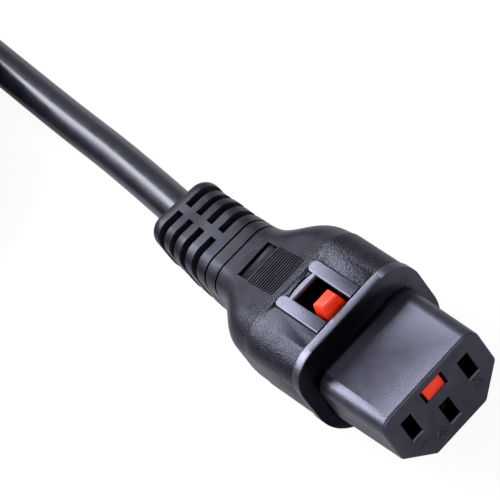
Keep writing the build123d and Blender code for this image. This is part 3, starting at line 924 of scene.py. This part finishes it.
@dataclass
class Studio:
    """A white floor under soft light, with the camera at the photograph's angle."""

    camera_at: Point = (-0.118717, -0.496776, 0.525028)
    camera_turn: Point = (39.2633, 25.8951, -41.3726)
    lens: float = 303.14
    sensor_width: float = 36.0
    clip: Span = (0.01, 20.0)
    lamps: Sequence[Softbox] = (
        Softbox("back softbox", at=(-0.161, 0.398, 0.360), size=(0.50, 0.26), power=5.7),
        Softbox("top softbox", at=(0.025, 0.385, 0.435), size=(0.44, 0.20), power=2.3),
        Softbox("front fill", at=(-0.30, -0.95, 0.50), size=(1.20, 1.00), power=9.5),
    )
    world_strength: float = 0.22
    world_colour: Colour = (0.97, 0.98, 1.0)
    world_mirrored: float = 0.18
    floor_half: float = 2.5
    floor_lighting: Colour = (0.30, 0.30, 0.32)
    floor_mirrored: float = 0.22
    floor_glow: float = 0.93

    def build(self) -> None:
        """Makes the camera, the world, the lamps and the floor."""
        self.camera()
        self.world()
        for lamp in self.lamps:
            lamp.build()
        self.floor()
        log.info("studio made")

    def camera(self) -> None:
        """Makes the camera, with no depth of field and no shift."""
        data = bpy.data.cameras.new("camera")
        data.lens = self.lens
        data.sensor_width = self.sensor_width
        data.clip_start, data.clip_end = self.clip
        made = bpy.data.objects.new("camera", data)
        made.location = self.camera_at
        made.rotation_euler = [math.radians(angle) for angle in self.camera_turn]
        bpy.context.scene.collection.objects.link(made)
        bpy.context.scene.camera = made

    def world(self) -> None:
        """White to the camera and to mirrors, plain soft light to everything else."""
        world = bpy.data.worlds.new("studio")
        wire = bare_tree(world)
        soft = self.background(wire, self.world_colour, self.world_strength)
        white = self.background(wire, WHITE, 1.0)
        mixed = wire.layer(seen_directly(wire, self.world_mirrored), soft, white)
        wire.join(mixed, wire.node("OutputWorld").inputs[0])
        bpy.context.scene.world = world

    @staticmethod
    def background(wire: Wire, colour: Colour, strength: float) -> Socket:
        """Adds a Background shader.

        Args:
            wire: the world's wiring helper.
            colour: its colour.
            strength: its strength.

        Returns:
            The shader's socket.
        """
        made = wire.node("Background")
        made.inputs["Color"].default_value = (*colour, 1.0)
        made.inputs["Strength"].default_value = strength
        return made.outputs[0]

    def floor(self) -> None:
        """Adds the floor, white in the picture apart from the object's faint shadow."""
        deselect()
        bpy.ops.mesh.primitive_plane_add(size=2 * self.floor_half, location=ORIGIN)
        floor = bpy.context.object
        floor.name = "floor"
        material = bpy.data.materials.new("white floor")
        wire = bare_tree(material)
        matt = wire.node("BsdfDiffuse")
        to_camera = wire.node("LightPath").outputs["Is Camera Ray"]
        wire.join(wire.blend(to_camera, self.floor_lighting, WHITE), matt.inputs["Color"])
        white = wire.node("Emission")
        white.inputs["Strength"].default_value = 1.0
        glow = wire.maths("MULTIPLY", seen_directly(wire, self.floor_mirrored), self.floor_glow)
        mixed = wire.layer(glow, matt.outputs[0], white.outputs[0])
        wire.join(mixed, wire.node("OutputMaterial").inputs[0])
        floor.data.materials.append(material)


# Mesh work shared by the sub-assemblies

WELD = 0.02 * MM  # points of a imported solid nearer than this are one
FLAT_ANGLE = math.radians(0.5)  # faces that meet flatter than this are one
SHARP_ANGLE = math.radians(32.0)  # edges sharper than this are rounded
SMOOTH_ANGLE = math.radians(40.0)  # edges flatter than this are shaded as one surface
BEVEL_SEGMENTS = 2


def deselect() -> None:
    """Leaves object mode with nothing selected."""
    if bpy.context.object and bpy.context.object.mode != "OBJECT":
        bpy.ops.object.mode_set(mode="OBJECT")
    bpy.ops.object.select_all(action="DESELECT")


def only(piece: bpy.types.Object) -> None:
    """Selects one object and makes it active.

    Args:
        piece: the object.
    """
    deselect()
    piece.select_set(True)
    bpy.context.view_layer.objects.active = piece


def dress(piece: bpy.types.Object, material: bpy.types.Material) -> None:
    """Gives a piece one material all over."""
    piece.data.materials.clear()
    piece.data.materials.append(material)


def merged_copy(node: bpy.types.Object, name: str) -> bpy.types.Object:
    """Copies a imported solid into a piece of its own, with its loose triangles merged.

    Args:
        node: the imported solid.
        name: the new piece's name.

    Returns:
        The new piece, at the origin.
    """
    mesh = node.data.copy()
    piece = bpy.data.objects.new(name, mesh)
    bpy.context.scene.collection.objects.link(piece)
    only(piece)
    if mesh.has_custom_normals:
        bpy.ops.mesh.customdata_custom_splitnormals_clear()
    bpy.ops.object.mode_set(mode="EDIT")
    bpy.ops.mesh.select_all(action="SELECT")
    bpy.ops.mesh.remove_doubles(threshold=WELD)
    bpy.ops.mesh.dissolve_limited(angle_limit=FLAT_ANGLE)
    bpy.ops.mesh.normals_make_consistent(inside=False)
    bpy.ops.object.mode_set(mode="OBJECT")
    return piece


def soften(piece: bpy.types.Object, width: float) -> None:
    """Rounds a piece's sharp edges and smooths its shading.

    Args:
        piece: the piece to round.
        width: the rounding's width.
    """
    only(piece)
    bevel = piece.modifiers.new("rounded edges", "BEVEL")
    bevel.width = width
    bevel.segments = BEVEL_SEGMENTS
    bevel.limit_method = "ANGLE"
    bevel.angle_limit = SHARP_ANGLE
    bevel.use_clamp_overlap = True
    bevel.harden_normals = True
    bpy.ops.object.modifier_apply(modifier=bevel.name)
    bpy.ops.object.shade_smooth_by_angle(angle=SMOOTH_ANGLE)


@dataclass(frozen=True)
class StandIn:
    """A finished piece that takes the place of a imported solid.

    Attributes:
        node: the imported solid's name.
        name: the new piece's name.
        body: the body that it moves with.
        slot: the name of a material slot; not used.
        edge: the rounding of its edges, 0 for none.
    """

    node: str
    name: str
    body: str
    slot: str
    edge: float = 0.0

    def build(
        self, nodes: Dict[str, bpy.types.Object], material: bpy.types.Material
    ) -> bpy.types.Object:
        """Makes the piece and puts it in the solid's place.

        Args:
            nodes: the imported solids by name.
            material: the piece's finish.

        Returns:
            The new piece.
        """
        piece = merged_copy(nodes[self.node], self.name)
        if self.edge:
            soften(piece, self.edge)
        dress(piece, material)
        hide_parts(self.node)
        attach(piece, self.body)
        log.info("%s made", self.name)
        return piece


# Cord


@dataclass(frozen=True)
class Winding:
    """One turn of the coil, or a part of one.

    Attributes:
        radius: its radius.
        height: its middle's height above the table.
        share: how much of a whole turn it is.
    """

    radius: float
    height: float
    share: float = 1.0


@dataclass
class CordRoute:
    """The whole cord as one line: out of the boot, down to the table, round the coil, to the plug.

    Attributes:
        diameter: the cord's diameter.
        length: its length along the line; not used.
        lead_in: control points from the boot to the coil.
        lead_out: control points from the coil to the plug.
        centre: the coil's centre.
        outer: radius of the outer windings.
        inner: radius of the inner windings.
        lowest: height of the lowest layer.
        steps: control points in a turn.
        change: degrees over which a turn moves on to the next.
        smoothness: steps between control points, and round the cord's quarter.
    """

    diameter: float = 7.2 * MM
    length: float = 1.45
    lead_in: Sequence[Point] = (
        (0.001759, 0.036885, 0.008784),
        (0.00430, 0.060616, 0.006489),
        (0.0055, 0.0800, 0.00485),
        (0.0063, 0.0915, 0.00410),
        (0.0073, 0.1060, 0.00370),
        (0.0083, 0.1210, 0.00370),
    )
    lead_out: Sequence[Point] = (
        (-0.0762, 0.1060, 0.0118),
        (-0.0762, 0.0974, 0.0118),
        (-0.0747, 0.0887, 0.0102),
        (-0.0747, 0.0800, 0.0102),
    )
    centre: Span = (-0.0346, 0.1320)
    outer: float = 41.6 * MM
    inner: float = 34.4 * MM
    lowest: float = 4.6 * MM
    steps: int = 16
    change: float = 60.0
    smoothness: Tuple[int, int] = (10, 7)

    def windings(self) -> List[Winding]:
        """Windings in the order that the cord takes them.

        Returns:
            Out to in on the table, up the inside, and back down the outside.
        """
        low, middle, high = (self.lowest + level * self.diameter for level in range(3))
        return [
            Winding(self.outer, low),
            Winding(self.inner, low),
            Winding(self.inner, middle),
            Winding(self.inner, high),
            Winding(self.outer, high),
            Winding(self.outer, middle, share=0.5),
        ]

    def moved_on(self, winding: Winding, angle: float) -> float:
        """How far a winding has moved on to the next at an angle, from 0 to 1.

        Args:
            winding: the winding.
            angle: the angle round it, in degrees.

        Returns:
            The share, eased at both ends.
        """
        if winding.share < 1.0:
            return 0.0
        share = min(1.0, max(0.0, (angle - (360.0 - self.change)) / self.change))
        return share * share * (3.0 - 2.0 * share)

    def turns(self) -> List[Point]:
        """Control points of the coil's windings.

        Returns:
            The points, without the first, because the lead-in ends there.
        """
        step = 360.0 / self.steps
        # the line passes inside its control points, so they stand that much further out
        further_out = 1.0 / (0.75 + 0.25 * math.cos(math.radians(step)))
        points: List[Point] = []
        windings = self.windings()
        for here, after in zip(windings, [*windings[1:], windings[-1]]):
            for number in range(round(self.steps * here.share)):
                angle = number * step
                moved = self.moved_on(here, angle)
                radius = here.radius + (after.radius - here.radius) * moved
                height = here.height + (after.height - here.height) * moved
                turn = math.radians(angle)
                points.append(
                    (
                        self.centre[0] + radius * further_out * math.cos(turn),
                        self.centre[1] + radius * further_out * math.sin(turn),
                        height,
                    )
                )
        return points[1:]

    def build(self, material: bpy.types.Material) -> None:
        """Args:
            material: the jacket's finish.
        """
        points = [*self.lead_in, *self.turns(), *self.lead_out]
        curve = bpy.data.curves.new("power_cord", "CURVE")
        curve.dimensions = "3D"
        spline = curve.splines.new("NURBS")
        spline.points.add(len(points) - 1)
        for control, at in zip(spline.points, points):
            control.co = (*at, 1.0)
        spline.order_u = 3
        spline.use_endpoint_u = True
        spline.use_smooth = True
        curve.bevel_depth = self.diameter / 2
        spline.resolution_u, curve.bevel_resolution = self.smoothness
        curve.use_fill_caps = True
        curve.materials.append(material)
        cord = bpy.data.objects.new("power_cord", curve)
        bpy.context.scene.collection.objects.link(cord)
        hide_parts("cable", "cable_coil", "cable_tail")
        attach(cord, "connector")
        log.info("cord made with %d points", len(points))


# Sub-assemblies


@dataclass
class ConnectorShell:
    """Nose, grip and release slide: the moulded pieces that show."""

    nodes: Dict[str, bpy.types.Object]
    effects: SharedEffects
    hard_edge: float = 0.12 * MM
    soft_edge: float = 0.07 * MM
    button_edge: float = 0.42 * MM

    def build(self) -> None:
        """Dresses the nose, the grip and the slide."""
        for node, finish, body, slot, edge in (
            ("nose_housing", HARD_BLACK, "connector", "hard_black", self.hard_edge),
            ("grip_overmould", SOFT_BLACK, "connector", "grip", self.soft_edge),
            ("release_slide", RELEASE_RED, "slide", "red_slide", self.button_edge),
        ):
            piece = StandIn(node, node + "_moulding", body, slot, edge)
            piece.build(self.nodes, finish.make(self.effects))


@dataclass
class FaceMarks:
    """Raised pole letters and the ringed earth sign on the nose's face.

    Attributes:
        effects: the shared shader groups.
        stroke: a stroke's width.
        proud: how far the strokes stand out.
        edge: the rounding of their edges.
        ring: its middle across the face and above the centre, and its radius, in millimetres.
        ring_segments: steps round the ring and round its wire.
        strokes: start and end of each stroke, across and above the centre, in millimetres.
    """

    effects: SharedEffects
    stroke: float = 0.28 * MM
    proud: float = 0.20 * MM
    edge: float = 0.05 * MM
    ring: Tuple[float, float, float] = (-3.4, -4.8, 1.3)
    ring_segments: Tuple[int, int] = (48, 8)
    strokes: Sequence[Tuple[float, float, float, float]] = (
        (-7.6, -1.0, -7.6, -3.1),
        (-7.6, -3.1, -6.5, -3.1),
        (6.3, -3.4, 6.3, -1.1),
        (6.3, -1.1, 7.6, -3.4),
        (7.6, -3.4, 7.6, -1.1),
        (-3.4, -3.95, -3.4, -4.75),
        (-4.05, -4.75, -2.75, -4.75),
        (-3.8, -5.08, -3.0, -5.08),
        (-3.58, -5.41, -3.22, -5.41),
    )

    def build(self) -> None:
        """Makes the marks as one piece on the connector."""
        parts = [self.bar(*ends) for ends in self.strokes]
        parts.append(self.earth_ring())
        deselect()
        for part in parts:
            part.select_set(True)
        bpy.context.view_layer.objects.active = parts[0]
        bpy.ops.object.join()
        marks = bpy.context.object
        marks.name = "face_marks"
        bpy.ops.object.transform_apply(location=True, rotation=True, scale=True)
        soften(marks, self.edge)
        dress(marks, HARD_BLACK.make(self.effects))
        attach(marks, "connector")
        log.info("face marks made")

    def bar(self, x0: float, rise0: float, x1: float, rise1: float) -> bpy.types.Object:
        """Adds one straight stroke.

        Args:
            x0: where it starts across the face, in millimetres.
            rise0: its start above the nose's centre.
            x1: where it ends across the face.
            rise1: its end above the nose's centre.

        Returns:
            The stroke.
        """
        deselect()
        reach = math.hypot(x1 - x0, rise1 - rise0) * MM + self.stroke
        bpy.ops.mesh.primitive_cube_add(
            size=1.0,
            location=place((x0 + x1) / 2, 0.0, (rise0 + rise1) / 2),
            rotation=(0.0, -math.atan2(rise1 - rise0, x1 - x0), 0.0),
            scale=(reach, 2 * self.proud, self.stroke),
        )
        return bpy.context.object

    def earth_ring(self) -> bpy.types.Object:
        """Adds the ring round the earth sign.

        Returns:
            The ring.
        """
        x, rise, radius = self.ring
        round_ring, round_wire = self.ring_segments
        deselect()
        bpy.ops.mesh.primitive_torus_add(
            major_radius=radius * MM,
            minor_radius=self.stroke / 2,
            major_segments=round_ring,
            minor_segments=round_wire,
            location=place(x, 0.0, rise),
            rotation=(math.radians(90.0), 0.0, 0.0),
        )
        return bpy.context.object


@dataclass
class InnerWorks:
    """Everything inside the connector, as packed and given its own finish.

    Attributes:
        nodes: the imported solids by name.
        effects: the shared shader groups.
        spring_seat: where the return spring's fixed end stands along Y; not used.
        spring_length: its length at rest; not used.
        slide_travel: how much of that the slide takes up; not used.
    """

    nodes: Dict[str, bpy.types.Object]
    effects: SharedEffects
    spring_seat: float = -1.8 * MM
    spring_length: float = 5.797 * MM
    slide_travel: float = 3.1 * MM

    def build(self) -> None:
        """Dresses each inner piece."""
        for finish, dressed in (
            (HARD_BLACK, ("rear_cover",)),
            (INNER_BLACK, ("inner_mould",)),
            (JACKET_BLACK, ("jacket_end",)),
            (PLATE_STEEL, ("locking_plate",)),
            (CONTACT_BRASS, ("line_contact", "neutral_contact", "earth_contact")),
            (BARE_COPPER, ("line_strands", "neutral_strands", "earth_strands")),
            (BROWN_CORE, ("line_core",)),
            (BLUE_CORE, ("neutral_core",)),
            (EARTH_CORE, ("earth_core",)),
        ):
            material = finish.make(self.effects)
            for node in dressed:
                dress(self.nodes[node], material)
        self.coil_spring()
        log.info("inner pieces dressed")

    def coil_spring(self) -> None:
        """Return spring, as a piece of its own with a mesh of its own."""
        stand_in = StandIn("return_spring", "return_spring_coil", "connector", "spring_steel")
        spring = stand_in.build(self.nodes, SPRING_STEEL.make(self.effects))
        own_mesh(spring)


@dataclass
class FarPlug:
    """The plug at the cord's other end, and the strap round the coil."""

    nodes: Dict[str, bpy.types.Object]
    effects: SharedEffects
    plug_edge: float = 0.2 * MM
    pin_edge: float = 0.12 * MM
    strap_edge: float = 0.15 * MM

    def build(self) -> None:
        """Dresses the plug, its pins and the strap."""
        pins = ("plug_line_pin", "plug_neutral_pin", "plug_earth_pin")
        for finish, slot, edge, dressed in (
            (PLUG_BLACK, "plug_black", self.plug_edge, ("plug_body",)),
            (PIN_NICKEL, "pin_metal", self.pin_edge, pins),
            (STRAP_BLACK, "strap", self.strap_edge, ("cable_tie",)),
        ):
            material = finish.make(self.effects)
            for node in dressed:
                piece = StandIn(node, node + "_finished", "connector", slot, edge)
                piece.build(self.nodes, material)


def main() -> None:
    """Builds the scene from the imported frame."""
    logging.basicConfig(level=logging.INFO, format="%(name)s: %(message)s")
    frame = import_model()
    nodes = frame["nodes"]
    bpy.context.scene.view_settings.view_transform = "Standard"
    Studio().build()
    effects = SharedEffects()
    CordRoute().build(JACKET_BLACK.make(effects))
    ConnectorShell(nodes, effects).build()
    FaceMarks(effects).build()
    InnerWorks(nodes, effects).build()
    FarPlug(nodes, effects).build()
    deselect()


if __name__ == "__main__":
    main()
